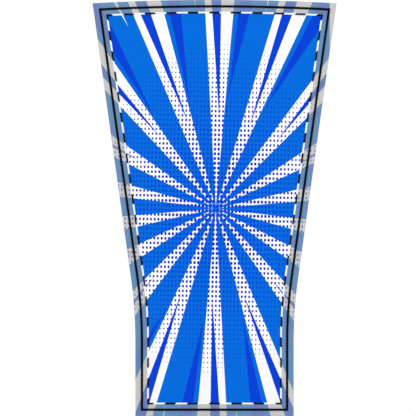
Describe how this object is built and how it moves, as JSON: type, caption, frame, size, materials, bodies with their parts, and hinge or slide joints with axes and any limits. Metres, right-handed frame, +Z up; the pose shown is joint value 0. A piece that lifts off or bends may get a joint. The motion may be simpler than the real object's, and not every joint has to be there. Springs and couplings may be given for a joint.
{
  "type": "superhero cape",
  "caption": "Lined cape panel that tapers to a straight hem, with a starburst print, sheer edge binding, black piping, running stitch and folding shoulder tabs.",
  "frame": {"origin": "middle of the top edge, in the middle of the cloth's thickness, where the shoulders or a hanger hold the cape", "axes": "+Z up along the cape's length, +X to the right seen from the printed face, +Y out of the lining towards the wearer"},
  "size_m": [0.41, 0.0099, 0.7],
  "materials": {
    "printed_satin": "printed polyester satin",
    "blue_lining": "plain polyester lining",
    "interfacing": "non-woven sew-in interfacing",
    "sheer_binding": "sheer woven binding over the print's edge",
    "black_piping": "braided cotton cord",
    "white_tape": "cotton twill tape",
    "black_thread": "waxed embroidery thread",
    "tab_webbing": "grosgrain webbing",
    "hook_tape": "moulded nylon hooks",
    "loop_tape": "brushed nylon loops"
  },
  "bodies": {
    "yoke": {"face_yoke": "printed_satin", "lining_yoke": "blue_lining", "yoke_interfacing": "interfacing", "band_top": "sheer_binding", "band_left_yoke": "sheer_binding", "band_right_yoke": "sheer_binding", "piping_yoke": "black_piping", "tape_yoke": "white_tape", "stitch_yoke": "black_thread", "tab_sewn_end_left": "tab_webbing", "tab_sewn_end_right": "tab_webbing", "loop_patch_left": "loop_tape", "loop_patch_right": "loop_tape"},
    "back": {"face_back": "printed_satin", "lining_back": "blue_lining", "band_left_back": "sheer_binding", "band_right_back": "sheer_binding", "piping_left_back": "black_piping", "piping_right_back": "black_piping", "tape_left_back": "white_tape", "tape_right_back": "white_tape", "stitch_left_back": "black_thread", "stitch_right_back": "black_thread"},
    "hem": {"face_hem": "printed_satin", "lining_hem": "blue_lining", "band_left_hem": "sheer_binding", "band_right_hem": "sheer_binding", "band_bottom": "sheer_binding", "piping_hem": "black_piping", "tape_hem": "white_tape", "stitch_hem": "black_thread"},
    "tab_left": {"shoulder_tab_left": "tab_webbing", "hook_patch_left": "hook_tape"},
    "tab_right": {"shoulder_tab_right": "tab_webbing", "hook_patch_right": "hook_tape"}
  },
  "joints": [
    {"name": "back_swing", "type": "hinge", "parent": "yoke", "child": "back", "pos_m": [0, -0.00095, -0.11886], "axis": [-1, 0, 0], "range_deg": [-20, 60]},
    {"name": "hem_flutter", "type": "hinge", "parent": "back", "child": "hem", "pos_m": [0, -0.00095, -0.40886], "axis": [-1, 0, 0], "range_deg": [-35, 50]},
    {"name": "tab_left_open", "type": "hinge", "parent": "yoke", "child": "tab_left", "pos_m": [-0.14708, 0.003, -0.04086], "axis": [1, 0, 0], "range_deg": [0, 120]},
    {"name": "tab_right_open", "type": "hinge", "parent": "yoke", "child": "tab_right", "pos_m": [0.14708, 0.003, -0.04086], "axis": [1, 0, 0], "range_deg": [0, 120]}
  ]
}
